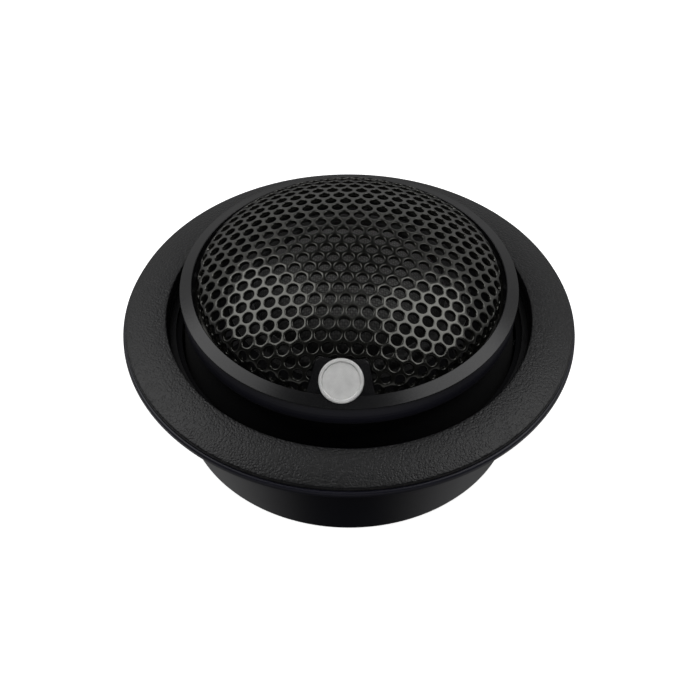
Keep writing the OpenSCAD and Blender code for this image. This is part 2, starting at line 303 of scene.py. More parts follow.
def cut_away(piece, work):
    """Takes the shape of a bmesh out of the piece."""
    mesh = bpy.data.meshes.new("cutter")
    work.to_mesh(mesh)
    work.free()
    cutter = bpy.data.objects.new("cutter", mesh)
    bpy.context.scene.collection.objects.link(cutter)
    step = piece.modifiers.new("cut", "BOOLEAN")
    step.operation = "DIFFERENCE"
    step.solver = "EXACT"
    step.object = cutter
    result = bpy.data.meshes.new_from_object(piece.evaluated_get(bpy.context.evaluated_depsgraph_get()))
    piece.modifiers.remove(step)
    piece.data = result
    bpy.data.objects.remove(cutter)


# ---------------------------------------------------------------------------
# Shader helpers


class Value:
    """A socket of a finish; arithmetic on it adds Math nodes."""

    def __init__(self, owner, socket):
        self.owner = owner
        self.socket = socket

    def _math(self, operation, first, second):
        return self.owner.add("ShaderNodeMath", {"operation": operation}, {0: first, 1: second})

    def __add__(self, other):
        return self._math("ADD", self, other)

    __radd__ = __add__

    def __sub__(self, other):
        return self._math("SUBTRACT", self, other)

    def __rsub__(self, other):
        return self._math("SUBTRACT", other, self)

    def __mul__(self, other):
        return self._math("MULTIPLY", self, other)

    __rmul__ = __mul__

    def __pow__(self, other):
        return self._math("POWER", self, other)

    def __neg__(self):
        return self._math("MULTIPLY", self, -1.0)

    def least(self, other):
        return self._math("MINIMUM", self, other)

    def clamped(self, low, high):
        """0 at low and below, 1 at high and above."""
        return self.owner.add(
            "ShaderNodeMapRange", {"clamp": True}, {"Value": self, "From Min": low, "From Max": high}
        )

    def function(self, operation):
        return self.owner.add("ShaderNodeMath", {"operation": operation}, {0: self})


class Nodes:
    """A node tree, and the one way that nodes are added to it."""

    def __init__(self, tree, coordinates):
        self.tree = tree
        self.place = self.add("ShaderNodeTexCoord", output=coordinates)

    def add(self, kind, settings=None, inputs=None, output=0):
        """A node of a type, with its settings, then its sockets' values or links."""
        node = self.tree.nodes.new(kind)
        for name, value in (settings or {}).items():
            setattr(node, name, value)
        for name, value in (inputs or {}).items():
            self.feed(node.inputs[name], value)
        return None if output is None else Value(self, node.outputs[output])

    def feed(self, socket, value):
        if isinstance(value, Value):
            self.tree.links.new(value.socket, socket)
        else:
            socket.default_value = value

    def axes(self):
        split = self.add("ShaderNodeSeparateXYZ", None, {0: self.place})
        outputs = split.socket.node.outputs
        return [Value(self, outputs[k]) for k in range(3)]


class Finish(Nodes):
    """A material and the nodes that make it."""

    def __init__(self, name):
        self.material = bpy.data.materials.new(name + "_finish")
        self.material.use_nodes = True
        super().__init__(self.material.node_tree, "Object")
        self.shader = self.tree.nodes["Principled BSDF"]

    def noise(self, size, detail=2.0, stretch=(1, 1, 1)):
        """Noise from 0 to 1 whose patches are about that size, in metres."""
        place = self.add(
            "ShaderNodeVectorMath", {"operation": "MULTIPLY"}, {0: self.place, 1: stretch}
        )
        return self.add("ShaderNodeTexNoise", None, {"Vector": place, "Scale": 1 / size, "Detail": detail})

    def cells(self, size):
        """Distance to the nearest of scattered points, as a share of their spacing in metres."""
        return self.add(
            "ShaderNodeTexVoronoi", None, {"Vector": self.place, "Scale": 1 / size}, output="Distance"
        )

    def blend(self, factor, first, second):
        """A colour between two colours."""
        return self.add(
            "ShaderNodeMix", {"data_type": "RGBA"}, {0: factor, 6: first, 7: second}, output=2
        )

    def bump(self, height, depth):
        """The normal of a relief whose height runs from 0 to 1 over a depth, in metres."""
        return self.add("ShaderNodeBump", None, {"Height": height, "Strength": 1.0, "Distance": depth})

    def surface(self, **inputs):
        """Sets the shader's sockets, named with underscores for spaces."""
        for name, value in inputs.items():
            self.feed(self.shader.inputs[name.replace("_", " ")], value)
        return self.material


def rgba(colour_value, gain=1.0):
    return tuple(min(1.0, channel * gain) for channel in colour_value[:3]) + (1.0,)


# ---------------------------------------------------------------------------
# Finishes, one function each, named for the record's slots


def moulded(name, base, gloss, spread=0.05, specular=0.5, inside=None):
    """Smooth moulded plastic: flow marks, a fine skin, some haze, and, where a shade mask is given, painted
    shade that is near-black and matt inside the gap.
    """
    made = Finish(name)
    # matt is a mask of painted shade: near-black colour and a matt surface where the gap between cup and
    # pod lies in shade.
    matt = inside(made) if inside else 0.0
    flow = made.noise(9 * MM, 3.0, (1, 1, 0.4))
    skin = made.noise(0.12 * MM, 2.0)
    haze = made.noise(2.5 * MM, 4.0)
    tint = made.blend(flow.clamped(0.3, 0.7), rgba(base, 0.85), rgba(base, 1.2))
    return made.surface(
        Base_Color=made.blend(matt, tint, PAINTED_GAP_SHADE),
        Roughness=gloss + spread * (haze - 0.5) + 0.03 * skin + (0.95 - gloss) * matt,
        Normal=made.bump(skin, 0.0012 * MM),
        IOR=1.5,
        Specular_IOR_Level=specular,
    )


def gap_shade_mask(made):
    """Mask of painted shade in the gap: 1 on what faces the cup's bore, below the pod's collar; 0 on the
    outer wall and underneath.
    """
    cup = bpy.context.scene.tweeter.cup
    taper = (cup.neck_radius - cup.floor_radius) / (-foot("mounting_cup") - cup.neck_height)
    east, north, up = made.axes()
    away = (east * east + north * north).function("SQRT")
    limit = cup.neck_radius - 0.5 * cup.wall + taper * (up + cup.neck_height).least(0.0)
    beyond = (away - limit).clamped(0.0, 0.1 * MM)
    collar = up.clamped(4.2 * MM, 5.6 * MM)
    above_foot = up.clamped(foot("mounting_cup") + 0.9 * MM, foot("mounting_cup") + 1.4 * MM)
    return (1.0 - beyond) * (1.0 - collar) * above_foot


def cup_plastic():
    base = bpy.context.scene.tweeter.finish.plastic
    tinted = (base[0] * 1.5, base[1] * 1.5, base[2] * 2.2)
    # The cup's plastic gets painted shade in the gap between cup and pod.
    return moulded("cup_plastic", tinted, 0.36, inside=gap_shade_mask)


def ring_plastic():
    return moulded("ring_plastic", bpy.context.scene.tweeter.finish.plastic, 0.8, specular=0.05)


def bezel_plastic():
    return moulded("bezel_plastic", bpy.context.scene.tweeter.finish.plastic, 0.24, 0.04)


def grained_plastic():
    """Satin plastic with a fine leather-like grain from the mould."""
    settings = bpy.context.scene.tweeter
    made = Finish("grained_plastic")
    size = settings.trim.grain
    pebbles = made.cells(size).clamped(0.05, 0.6)
    fine = made.noise(size * 0.45, 3.0)
    patches = made.noise(6 * MM, 2.0)
    relief = 0.6 * pebbles + 0.7 * fine
    base = settings.finish.plastic
    tint = made.blend(relief.clamped(0.3, 0.9), rgba(base, 1.25), rgba(base, 0.8))
    return made.surface(
        Base_Color=tint,
        Roughness=0.29 + 0.08 * relief + 0.06 * (patches - 0.5),
        Normal=made.bump(relief, settings.trim.grain_depth),
        IOR=1.5,
    )


def grille_steel():
    """Semi-gloss powder coat on pressed steel, with its orange peel."""
    made = Finish("grille_steel")
    peel = made.noise(0.35 * MM, 2.0)
    speck = made.noise(0.1 * MM, 1.0)
    wide = made.noise(4 * MM, 2.0)
    base = bpy.context.scene.tweeter.finish.grille
    tint = made.blend(wide.clamped(0.3, 0.7), rgba(base, 0.8), rgba(base, 1.2))
    return made.surface(
        Base_Color=tint,
        Roughness=0.15 + 0.06 * (speck - 0.5) + 0.04 * (wide - 0.5),
        Normal=made.bump(peel, 0.004 * MM),
        IOR=1.85,
        Specular_Tint=(1.0, 1.0, 0.93, 1.0),
    )


def silk():
    """Coated plain-weave silk: warp and weft, a thread's slub, and painted shade of the grille darkening
    the silk towards its edge, partly standing for a thicker damping coat there.
    """
    settings = bpy.context.scene.tweeter
    made = Finish("silk")
    east, north, _ = made.axes()
    wobble = made.noise(1.5 * MM, 2.0)
    pace = 2 * math.pi / settings.dome.thread
    warp = ((east + north) * (pace * math.sqrt(0.5)) + 1.5 * wobble).function("SINE")
    weft = ((east - north) * (pace * math.sqrt(0.5)) + 1.5 * wobble).function("SINE")
    over = warp * weft
    threads = 0.5 + 0.28 * over + 0.12 * warp + 0.1 * weft
    slub = made.noise(0.5 * MM, 2.0, (1, 0.2, 1))
    base = settings.finish.silk
    # Painted shade: coat darkens the silk from 7.5 mm to 12 mm from the axis. This stands for the grille's
    # shade over the dome's outer part, and partly for a thicker damping coat there. The surround, further
    # out, is painted dark the same way.
    coat = (east * east + north * north).function("SQRT").clamped(7.5 * MM, 12 * MM)
    weave = made.blend(threads.clamped(0.1, 0.9), rgba(base, 0.1), rgba(base, 3.0))
    tint = made.blend(coat, weave, rgba(base, 0.06))
    return made.surface(
        Base_Color=tint,
        Roughness=0.5 + 0.2 * (slub - 0.5) - 0.12 * (threads - 0.5),
        Normal=made.bump(threads + 0.3 * slub, 0.05 * MM),
        Sheen_Weight=0.2,
        Sheen_Roughness=0.4,
    )


def soft_rubber():
    made = Finish("soft_rubber")
    skin = made.noise(0.2 * MM, 3.0)
    bloom = made.noise(3 * MM, 3.0)
    tint = made.blend(bloom.clamped(0.35, 0.75), (0.012, 0.012, 0.012, 1), (0.024, 0.024, 0.023, 1))
    return made.surface(
        Base_Color=tint, Roughness=0.72 + 0.12 * (bloom - 0.5), Normal=made.bump(skin, 0.006 * MM)
    )


def metal(name, base, gloss, marks, depth=0.002 * MM, stretch=(1, 1, 1)):
    """Bare or plated metal: fine marks, uneven gloss and a darker bloom."""
    made = Finish(name)
    fine = made.noise(marks, 3.0, stretch)
    bloom = made.noise(4 * MM, 3.0)
    tint = made.blend(bloom.clamped(0.3, 0.75), rgba(base, 0.8), rgba(base))
    return made.surface(
        Base_Color=tint,
        Metallic=1.0,
        Roughness=gloss + 0.14 * (fine - 0.5) + 0.08 * (bloom - 0.5),
        Normal=made.bump(fine, depth),
    )


def emblem_metal():
    """Satin silver with the fine rings of a turned face."""
    settings = bpy.context.scene.tweeter
    made = Finish("emblem_metal")
    centre = badge_frame(settings.bezel) @ Vector((0, 0, 0))
    away = made.add("ShaderNodeVectorMath", {"operation": "SUBTRACT"}, {0: made.place, 1: centre})
    spread = made.add("ShaderNodeVectorMath", {"operation": "LENGTH"}, {0: away}, output="Value")
    rings = (spread * (2 * math.pi / (0.16 * MM)) + 2 * made.noise(0.8 * MM)).function("SINE")
    bloom = made.noise(1.2 * MM, 3.0)
    base = settings.finish.badge
    tint = made.blend(bloom.clamped(0.3, 0.7), rgba(base, 0.86), rgba(base))
    return made.surface(
        Base_Color=tint,
        Metallic=0.4,
        Roughness=0.42 + 0.08 * rings + 0.1 * (bloom - 0.5),
        Normal=made.bump(rings, 0.0025 * MM),
    )


def spring_steel():
    return metal("spring_steel", (0.05, 0.05, 0.052), 0.5, 0.2 * MM)


def screw_steel():
    return metal("screw_steel", (0.09, 0.09, 0.095), 0.38, 0.15 * MM)


def motor_steel():
    return metal("motor_steel", (0.5, 0.5, 0.5), 0.34, 0.3 * MM, stretch=(1, 1, 0.2))


def magnet_nickel():
    return metal("magnet_nickel", (0.7, 0.69, 0.66), 0.2, 0.4 * MM)


def copper():
    return metal("copper", (0.72, 0.4, 0.24), 0.32, 0.15 * MM, stretch=(0.3, 0.3, 4))


def tag_brass():
    return metal("tag_brass", (0.75, 0.68, 0.45), 0.35, 0.2 * MM)


def felt():
    """Pressed felt: a tangle of light and dark fibres."""
    made = Finish("felt")
    fibres = made.noise(0.25 * MM, 5.0, (1, 0.25, 1))
    cross = made.noise(0.25 * MM, 5.0, (0.25, 1, 1))
    tangle = 0.5 * fibres + 0.5 * cross
    tint = made.blend(tangle.clamped(0.35, 0.65), (0.06, 0.06, 0.058, 1), (0.2, 0.2, 0.195, 1))
    return made.surface(
        Base_Color=tint, Roughness=0.95, Normal=made.bump(tangle, 0.12 * MM), Sheen_Weight=0.4
    )


def board():
    """Green glass-fibre board with its weave under the varnish."""
    made = Finish("board")
    east, north, _ = made.axes()
    pace = 2 * math.pi / (0.6 * MM)
    weave = (east * pace).function("SINE") * (north * pace).function("SINE")
    blotch = made.noise(1.5 * MM, 2.0)
    shine = (0.5 + 0.3 * weave + 0.4 * (blotch - 0.5)).clamped(0, 1)
    tint = made.blend(shine, (0.03, 0.09, 0.05, 1), (0.05, 0.14, 0.075, 1))
    return made.surface(
        Base_Color=tint, Roughness=0.32 + 0.1 * blotch, Normal=made.bump(weave, 0.003 * MM), Coat_Weight=0.3
    )


def former():
    """Amber polyimide film with a faint lap and fine streaks."""
    made = Finish("former")
    streaks = made.noise(0.4 * MM, 3.0, (1, 1, 0.15))
    tint = made.blend(streaks.clamped(0.3, 0.7), (0.3, 0.15, 0.045, 1), (0.42, 0.22, 0.07, 1))
    return made.surface(
        Base_Color=tint, Roughness=0.25 + 0.15 * streaks, Normal=made.bump(streaks, 0.003 * MM)
    )


FINISHES = {
    made.__name__: made
    for made in (
        cup_plastic, ring_plastic, bezel_plastic, grained_plastic, grille_steel, silk, soft_rubber,
        emblem_metal, spring_steel, screw_steel, motor_steel, magnet_nickel, copper, tag_brass, felt,
        board, former,
    )
}


def finish(slot):
    """The material of a slot, made once."""
    return bpy.data.materials.get(slot + "_finish") or FINISHES[slot]()


# ---------------------------------------------------------------------------
# The badge tab's own frame


def tab_frame(bezel):
    """Across, up the slope and out of the tab, from the bezel's inner edge at the front."""
    edge = Vector((0, -bezel.inner_radius, bezel.inner_height))
    return Matrix.Translation(edge) @ Matrix.Rotation(bezel.tab_slope, 4, "X")


def badge_frame(bezel):
    return tab_frame(bezel) @ Matrix.Translation((0, bezel.badge_up, 0))


def tab_outline(bezel, grow=0.0):
    """The tab's outline across and up its slope, rounded at its upper corners."""
    root = -0.5 * MM
    wide = bezel.tab_wide + grow
    narrow = bezel.tab_narrow + grow
    end = bezel.tab_length + grow
    corner = bezel.tab_corner + grow
    return rounded([
        (-wide, root), (wide, root), (wide, 0), (narrow, end, corner), (-narrow, end, corner), (-wide, 0),
    ])


def inset(outline, distance):
    """The closed outline moved inwards by a distance; points run anticlockwise."""
    moved = []
    for k, point in enumerate(outline):
        before = (point - outline[k - 1]).normalized()
        after = (outline[(k + 1) % len(outline)] - point).normalized()
        inward = Vector((-(before + after).y, (before + after).x)).normalized()
        moved.append(point + inward * distance / max(0.5, inward.dot(Vector((-after.y, after.x)))))
    return moved


def on_tab(bezel, point, out=0.0):
    """A place on the tab, which starts along the bezel's round edge and ends straight."""
    up = point.y / bezel.tab_length
    across = point.x / (bezel.tab_wide + (bezel.tab_narrow - bezel.tab_wide) * up)
    bearing = across * math.asin(bezel.tab_wide / bezel.inner_radius)
    low = Vector((
        bezel.inner_radius * math.sin(bearing), -bezel.inner_radius * math.cos(bearing), bezel.inner_height
    ))
    high = tab_frame(bezel) @ Vector((across * bezel.tab_narrow, bezel.tab_length, 0))
    return low.lerp(high, up) + tab_frame(bezel).to_3x3() @ Vector((0, 0, out))


# ---------------------------------------------------------------------------
# The grille's form


class PressedSheet:
    """The grille's dome, shoulder and wall, by distance along the sheet from its top."""

    def __init__(self, grille, height, wall_foot):
        self.grille = grille
        radii = np.linspace(0, grille.cap_radius, 160)
        share_out = radii / grille.wall_radius
        heights = height - grille.crown * share_out**2 - grille.turn_down * share_out**4
        slope = math.atan2(heights[-2] - heights[-1], radii[-1] - radii[-2])
        bend = (grille.wall_radius - grille.cap_radius) / (1 - math.sin(slope))
        turns = np.linspace(slope, math.pi / 2, 24)[1:]
        centre_r = radii[-1] - bend * math.sin(slope)
        centre_z = heights[-1] - bend * math.cos(slope)
        self.radii = np.concatenate([radii, centre_r + bend * np.sin(turns), [grille.wall_radius]])
        self.heights = np.concatenate([heights, centre_z + bend * np.cos(turns), [wall_foot]])
        steps = np.hypot(np.diff(self.radii), np.diff(self.heights))
        self.along = np.concatenate([[0], np.cumsum(steps)])
        falls = np.arctan2(-np.diff(self.heights), np.diff(self.radii))
        self.falls = np.concatenate([[0], (falls[:-1] + falls[1:]) / 2, [math.pi / 2]])
        self.length = self.along[-1]

    def place(self, flat, out=0.0):
        """The point of the sheet that a point of the flat blank is pressed to."""
        distance = math.hypot(flat[0], flat[1])
        bearing = math.atan2(flat[1], flat[0])
        radius = np.interp(distance, self.along, self.radii)
        height = np.interp(distance, self.along, self.heights)
        fall = np.interp(distance, self.along, self.falls)
        radius += out * math.sin(fall)
        return (radius * math.cos(bearing), radius * math.sin(bearing), height + out * math.cos(fall))


def hole_centres(grille, limit):
    """Centres of the hexagonal pattern on the flat blank, out to a limit."""
    row_step = grille.pitch * math.sqrt(3) / 2
    rows = math.ceil(limit / row_step) + 2
    for row in range(-rows, rows + 1):
        for column in range(-rows - 2, rows + 3):
            across = (column + row % 2 / 2) * grille.pitch
            up = row * row_step + grille.pattern_shift
            if math.hypot(across, up) < limit + grille.pitch:
                yield across, up


def cell_outline(grille):
    """Points round a hexagonal cell, equally spaced along each edge so that neighbours share them."""
    corner = Vector((0, grille.pitch / math.sqrt(3)))
    corners = [Matrix.Rotation(math.radians(60 * k), 2) @ corner for k in range(6)]
    return [
        corners[k].lerp(corners[(k + 1) % 6], part / EDGE_PARTS)
        for k in range(6)
        for part in range(EDGE_PARTS)
    ]


def perforated(work, grille, sheet):
    """The pressed sheet as hexagonal cells, each with a round hole whose painted edge is soft."""
    outline = cell_outline(grille)
    bearings = [math.atan2(point.y, point.x) for point in outline]
    soft = grille.edge_round
    quarter = [math.radians(30 * k) for k in range(4)]
    rings = [
        (grille.hole + soft * (1 - math.sin(turn)), -soft * (1 - math.cos(turn))) for turn in quarter
    ] + [(grille.hole, -grille.sheet)]
    limit = sheet.length
    corners = {}

    def shared(flat, out):
        key = (round(flat[0] / MM, 4), round(flat[1] / MM, 4), out)
        if key not in corners:
            corners[key] = work.verts.new(sheet.place(flat, out))
        return corners[key]

    def held_in(flat):
        far = math.hypot(flat[0], flat[1])
        return flat if far <= limit else (flat[0] * limit / far, flat[1] * limit / far)

    def face(*points):
        points = list(dict.fromkeys(points))
        if len(points) > 2:
            work.faces.new(points)

    for across, up in hole_centres(grille, limit):
        if min(math.hypot(across + point.x, up + point.y) for point in outline) >= limit:
            continue
        edge = [held_in((across + point.x, up + point.y)) for point in outline]
        above = [shared(point, 0.0) for point in edge]
        below = [shared(point, -grille.sheet) for point in edge]
        if math.hypot(across, up) + grille.hole + soft > limit:
            face(*above)
            face(*reversed(below))
            continue
        bands = [above]
        for radius, out in rings:
            bands.append([
                work.verts.new(
                    sheet.place((across + radius * math.cos(turn), up + radius * math.sin(turn)), out)
                )
                for turn in bearings
            ])
        bands.append(below)
        for outer, inner in zip(bands, bands[1:]):
            for k in range(len(outline)):
                face(outer[k - 1], outer[k], inner[k], inner[k - 1])
    rim = [edge for edge in work.edges if edge.is_boundary]
    bmesh.ops.bridge_loops(work, edges=rim)


# ---------------------------------------------------------------------------
# Operators, one for each piece or group of like pieces


class TWEETER_OT_cup(bpy.types.Operator):
    """Makes the mounting cup with its flange, neck and tapered end"""

    bl_idname = "tweeter.cup"
    bl_label = "Mounting cup"

    def execute(self, context):
        cup = context.scene.tweeter.cup
        out = reach("mounting_cup")
        low = foot("mounting_cup")
        inside = low + 1.5 * MM
        ledge = -5.1 * MM
        ledge_radius = 22.9 * MM
        groove_low = -0.38 * MM
        groove_high = 0.48 * MM
        groove_radius = 24.83 * MM
        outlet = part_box("cable_grommet")[1].x
        hole = 3.2 * MM
        recess = 0.8 * MM
        work = bmesh.new()
        turned(work, rounded([
            (hole, inside), (hole, low + recess), (outlet + 0.2 * MM, low + recess),
            (outlet + 0.2 * MM, low, 0.15 * MM), (cup.floor_radius, low, cup.corner),
            (cup.neck_radius, -cup.neck_height, 0.8 * MM), (cup.neck_radius, 0, 0.25 * MM),
            (out, 0, cup.rim_round), (out, cup.flange, cup.rim_round), (cup.bore, cup.flange),
            (cup.bore, groove_high), (groove_radius, groove_high), (groove_radius, groove_low),
            (cup.bore, groove_low), (cup.bore, ledge), (ledge_radius, ledge, 0.2 * MM),
            (cup.floor_radius - cup.wall, inside, MM),
        ]))
        piece = new_piece("mounting_cup_body", work, "cup_plastic", "cup", "mounting_cup")
        screw_place = 11 * MM
        shank = (1.6 * MM, 1.6 * MM, 6 * MM)
        countersink = (2.9 * MM, 1.4 * MM, 1.4 * MM)
        for side in (-1, 1):
            drill = bmesh.new()
            place = Matrix.Translation((side * screw_place, 0, low))
            for wide, narrow, depth in (shank, countersink):
                bmesh.ops.create_cone(
                    drill, segments=64, radius1=wide, radius2=narrow, depth=depth, cap_ends=True,
                    matrix=place,
                )
            cut_away(piece, drill)
        return {"FINISHED"}


class TWEETER_OT_trim(bpy.types.Operator):
    """Makes the grained trim ring over the flange"""

    bl_idname = "tweeter.trim"
    bl_label = "Trim ring"

    def execute(self, context):
        settings = context.scene.tweeter
        trim = settings.trim
        flange = settings.cup.flange
        out = reach("trim_ring")
        low = flange + trim.parting
        rib_out = 26.85 * MM
        rib_in = 25.95 * MM
        rib_top = flange + 1.05 * MM
        edge = Vector((out, low + 0.45 * MM))
        inner = Vector((trim.opening, top("trim_ring")))
        face = [
            edge.lerp(inner, part) + Vector((0, trim.crown * 4 * part * (1 - part)))
            for part in np.linspace(0.08, 0.92, 11)
        ]
        work = bmesh.new()
        turned(work, rounded([
            (out - 1.3 * MM, flange), (out - 1.2 * MM, low), (out, low, 0.05 * MM),
            (out, low + 0.45 * MM, 0.3 * MM), *face, (trim.opening, top("trim_ring"), trim.edge_round),
            (trim.opening, flange, 0.1 * MM), (rib_in, flange), (rib_in, rib_top), (rib_out, rib_top),
            (rib_out, flange),
        ]))
        new_piece("trim_ring_body", work, "grained_plastic", "cup", "trim_ring")
        return {"FINISHED"}


class TWEETER_OT_bezel(bpy.types.Operator):
    """Makes the bezel band and its badge tab"""

    bl_idname = "tweeter.bezel"
    bl_label = "Bezel and tab"

    def execute(self, context):
        bezel = context.scene.tweeter.bezel
        out = reach("bezel_ring")
        low = foot("bezel_ring")
        collar = top("rear_shell")
        work = bmesh.new()
        skirt_in = 20.55 * MM
        skirt_out = 20.95 * MM
        rest = 21.75 * MM
        groove = collar + 0.2 * MM
        turned(work, rounded([
            (skirt_in, low), (skirt_out, low), (skirt_out, collar), (rest, collar), (rest, groove),
            (out, collar + 0.1 * MM, 0.08 * MM), (out, bezel.edge_height, 0.16 * MM),
            (bezel.inner_radius, bezel.inner_height, 0.1 * MM), (bezel.inner_radius, low + 0.8 * MM),
            (skirt_in, low + 0.4 * MM),
        ]))
        outline = tab_outline(bezel)
        bevel = 0.2 * MM
        thickness = 0.9 * MM
        steps = [(0, -thickness), (0, -bevel), (bevel * 0.3, -bevel * 0.3), (bevel, 0)]
        rings = [[on_tab(bezel, point, drop) for point in inset(outline, back)] for back, drop in steps]
        middle = Vector((0, bezel.tab_length / 2))
        flat = inset(outline, bevel)
        for part in (0.2, 0.45, 0.7, 0.9):
            rings.append([on_tab(bezel, point.lerp(middle, part)) for point in flat])
        stacked(work, rings)
        new_piece("bezel_ring_body", work, "bezel_plastic", "pod", "bezel_ring")
        return {"FINISHED"}


class TWEETER_OT_emblem(bpy.types.Operator):
    """Makes the plain rimmed badge disc"""

    bl_idname = "tweeter.emblem"
    bl_label = "Badge"

    def execute(self, context):
        bezel = context.scene.tweeter.bezel
        radius = bezel.badge_radius
        rise = 0.42 * MM
        rim = 0.42 * MM
        dish = 0.24 * MM
        work = bmesh.new()
        turned(work, rounded([
            (0, -0.2 * MM), (radius, -0.2 * MM), (radius, rise, 0.14 * MM),
            (radius - rim, rise, 0.1 * MM), (radius - rim - 0.1 * MM, rise - dish, 0.05 * MM),
            (radius * 0.45, rise - dish * 0.7), (0, rise - dish * 0.4),
        ], closed=False), closed=False)
        bmesh.ops.transform(work, matrix=badge_frame(bezel), verts=work.verts)
        new_piece("emblem_disc", work, "emblem_metal", "pod", "emblem")
        return {"FINISHED"}


class TWEETER_OT_grille(bpy.types.Operator):
    """Makes the domed perforated grille with its notch for the tab"""

    bl_idname = "tweeter.grille"
    bl_label = "Grille"

    def execute(self, context):
        settings = context.scene.tweeter
        grille = settings.grille
        base = foot("grille")
        sheet = PressedSheet(grille, top("grille"), base + 0.3 * MM)
        work = bmesh.new()
        perforated(work, grille, sheet)
        foot_out = reach("grille")
        foot_top = base + 0.5 * MM
        lap_top = base + 0.62 * MM
        lap = 0.02 * MM
        wall_out = grille.wall_radius + lap
        wall_in = grille.wall_radius - grille.sheet
        turned(work, rounded([
            (wall_in, base), (foot_out, base), (foot_out, foot_top), (wall_out, foot_top),
            (wall_out, lap_top), (wall_in - lap, lap_top), (wall_in - lap, base),
        ]))
        piece = new_piece("grille_sheet", work, "grille_steel", "pod", "grille")
        notch = bmesh.new()
        clearance = 0.16 * MM
        outline = tab_outline(settings.bezel, clearance)
        place = tab_frame(settings.bezel)
        stacked(notch, [
            [place @ Vector((point.x, point.y, out)) for point in outline] for out in (-1.4 * MM, 4 * MM)
        ])
        bmesh.ops.recalc_face_normals(notch, faces=notch.faces)
        cut_away(piece, notch)
        return {"FINISHED"}


class TWEETER_OT_dome(bpy.types.Operator):
    """Makes the silk dome and its half-roll surround"""

    bl_idname = "tweeter.dome"
    bl_label = "Silk dome and surround"

    def execute(self, context):
        dome = context.scene.tweeter.dome
        base = foot("dome_diaphragm")
        edge = reach("dome_diaphragm")
        crown = top("dome_diaphragm")
        centre = crown - dome.curve
        steps = 40
        spread = math.asin(min(1, edge / dome.curve))
        outer = arc(0, centre, dome.curve, [spread * k / steps for k in range(steps + 1)])
        inner_curve = dome.curve - dome.cloth
        inner_spread = math.acos((base - centre) / inner_curve)
        inner = arc(0, centre, inner_curve, [inner_spread * k / steps for k in range(steps, -1, -1)])
        work = bmesh.new()
        turned(work, outer + inner, closed=False)
        new_piece("silk_dome", work, "silk", "diaphragm", "dome_diaphragm", weighted=False)

        low = foot("surround")
        out = reach("surround")
        middle = edge + dome.roll
        bottom = low + dome.cloth
        inner_roll = dome.roll - dome.cloth
        turns = [math.pi / 2 - math.pi * k / 24 for k in range(25)]
        crest = arc(middle, bottom, dome.roll, turns)
        hollow = arc(middle, bottom, inner_roll, reversed(turns))
        work = bmesh.new()
        turned(work, [(out, low), (out, bottom)] + crest + hollow + [(middle + inner_roll, low)])
        new_piece("silk_surround", work, "silk", "pod", "surround", weighted=False)
        return {"FINISHED"}


class TWEETER_OT_grommets(bpy.types.Operator):
    """Makes the two rubber lead grommets"""

    bl_idname = "tweeter.grommets"
    bl_label = "Grommets"

    def execute(self, context):
        for node, body, bore, waist in (
            ("cable_grommet", "cup", 1.6 * MM, 3.2 * MM), ("shell_grommet", "pod", 0.9 * MM, 2 * MM)
        ):
            low, high, out = foot(node), top(node), reach(node)
            lip = 0.3 * (high - low)
            soft = 0.25 * lip
            work = bmesh.new()
            turned(work, rounded([
                (bore, low, soft), (out, low, soft), (out, low + lip, soft), (waist, low + lip),
                (waist, high - lip), (out, high - lip, soft), (out, high, soft), (bore, high, soft),
            ]))
            new_piece(node + "_rubber", work, "soft_rubber", body, node)
        return {"FINISHED"}


class TWEETER_OT_hardware(bpy.types.Operator):
    """Gives every carried-over part of the frame its finish"""

    bl_idname = "tweeter.hardware"
    bl_label = "Inner parts"

    def execute(self, context):
        for part in frame["record"]["subparts"]:
            node = frame["nodes"][part["node"]]
            if node.hide_render:
                continue
            node.data.materials.clear()
            node.data.materials.append(finish(part["material_slot"]))
            for face in node.data.polygons:
                face.material_index = 0
        return {"FINISHED"}


def directed(azimuth, elevation):
    """A direction from the object, its azimuth from the front and its elevation in degrees."""
    turn = math.radians(azimuth)
    rise = math.radians(elevation)
    return Vector((math.sin(turn) * math.cos(rise), -math.cos(turn) * math.cos(rise), math.sin(rise)))


